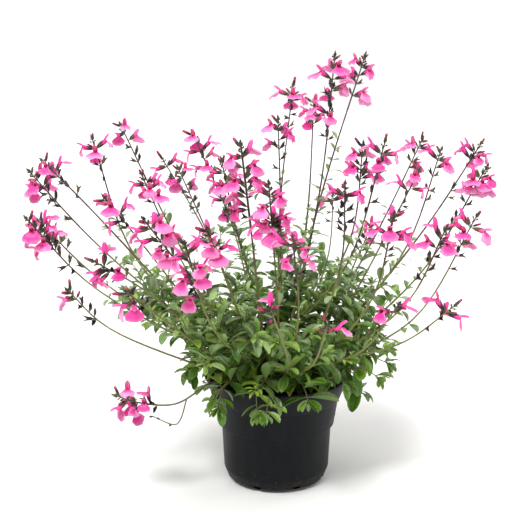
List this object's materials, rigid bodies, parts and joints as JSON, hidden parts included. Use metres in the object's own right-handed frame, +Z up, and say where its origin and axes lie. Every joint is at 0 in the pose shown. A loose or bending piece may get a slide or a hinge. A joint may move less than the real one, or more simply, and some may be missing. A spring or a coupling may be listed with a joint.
{
  "type": "potted sage",
  "caption": "Young small-leaved shrubby sage in flower: a fountain of thin square stems with leaves and pink-flowered racemes, in a round black nursery pot.",
  "frame": {"origin": "centre of the pot's flat base, on the surface it stands on", "axes": "+Z up along the pot's axis, -Y towards the viewer of the picture, +X to that viewer's right"},
  "size_m": [0.6624, 0.5604, 0.5881],
  "materials": {
    "pot_plastic": "black injection-moulded plastic, low sheen, with dust and specks of soil",
    "potting_mix": null,
    "foliage": null,
    "flowers": null
  },
  "bodies": {
    "root": {"pot": "pot_plastic", "potting_mix": "potting_mix", "branch_right": "foliage", "branch_right_back": "foliage", "branch_back": "foliage", "branch_left_back": "foliage", "branch_left_rear": "foliage", "branch_left": "foliage", "branch_left_front": "foliage", "branch_front_left": "foliage", "branch_front": "foliage", "branch_right_front": "foliage", "branch_centre": "foliage", "raceme_right_1": "flowers", "raceme_right_2": "flowers", "raceme_right_3": "flowers", "raceme_right_4": "flowers", "raceme_right_back_1": "flowers", "raceme_right_back_2": "flowers", "raceme_right_back_3": "flowers", "raceme_back_1": "flowers", "raceme_back_2": "flowers", "raceme_back_3": "flowers", "raceme_back_4": "flowers", "raceme_left_back_1": "flowers", "raceme_left_back_2": "flowers", "raceme_left_back_3": "flowers", "raceme_left_back_4": "flowers", "raceme_left_rear_1": "flowers", "raceme_left_rear_2": "flowers", "raceme_left_rear_3": "flowers", "raceme_left_1": "flowers", "raceme_left_2": "flowers", "raceme_left_3": "flowers", "raceme_left_4": "flowers", "raceme_left_5": "flowers", "raceme_left_front_1": "flowers", "raceme_left_front_2": "flowers", "raceme_left_front_3": "flowers", "raceme_left_front_4": "flowers", "raceme_front_left_1": "flowers", "raceme_front_left_2": "flowers", "raceme_front_left_3": "flowers", "raceme_front_left_4": "flowers", "raceme_front_1": "flowers", "raceme_front_2": "flowers", "raceme_front_3": "flowers", "raceme_front_4": "flowers", "raceme_right_front_1": "flowers", "raceme_right_front_2": "flowers", "raceme_right_front_3": "flowers", "raceme_right_front_4": "flowers", "raceme_right_front_5": "flowers", "raceme_centre_1": "flowers", "raceme_centre_2": "flowers", "raceme_centre_3": "flowers", "raceme_centre_4": "flowers", "raceme_centre_5": "flowers", "raceme_centre_6": "flowers", "raceme_centre_7": "flowers"}
  },
  "joints": []
}
